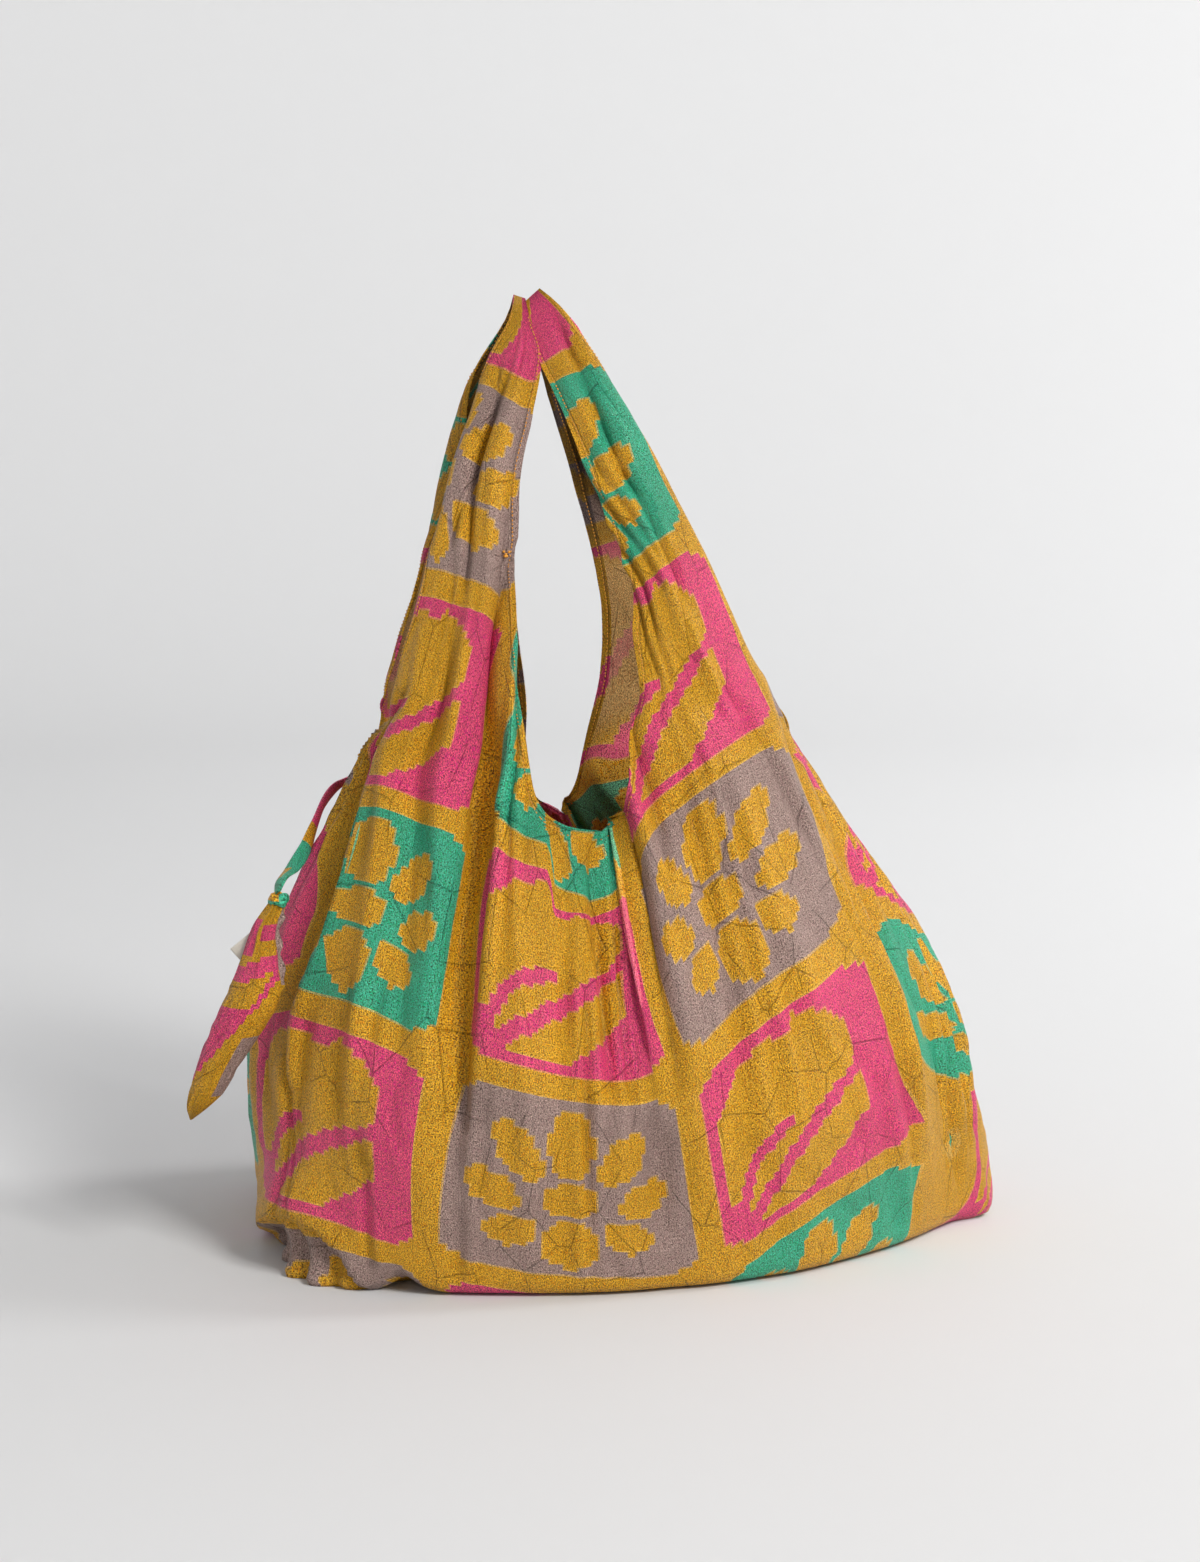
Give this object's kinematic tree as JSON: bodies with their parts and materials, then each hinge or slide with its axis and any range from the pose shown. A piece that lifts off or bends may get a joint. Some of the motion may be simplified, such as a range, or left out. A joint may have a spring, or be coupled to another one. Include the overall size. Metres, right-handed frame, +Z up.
{
  "type": "reusable shopping bag",
  "caption": "Soft vest-style shopping bag of crinkled printed silk, its handles drawn up to points, with a small carry pouch hanging on a cloth tie.",
  "frame": {"origin": "centre of the bag's footprint on the surface it stands on, under the middle of the whole outline", "axes": "+Z up to the handle tops, -Y towards the front panel, +X along the bag's width towards its right side"},
  "size_m": [0.5299, 0.3516, 0.6217],
  "materials": {
    "silk": "crinkled printed silk with a soft sheen",
    "label_cloth": "matt cream cotton tape"
  },
  "bodies": {
    "root": {"front_panel": "silk", "back_panel": "silk", "pouch": "silk", "tie": "silk", "label": "label_cloth"}
  },
  "joints": []
}
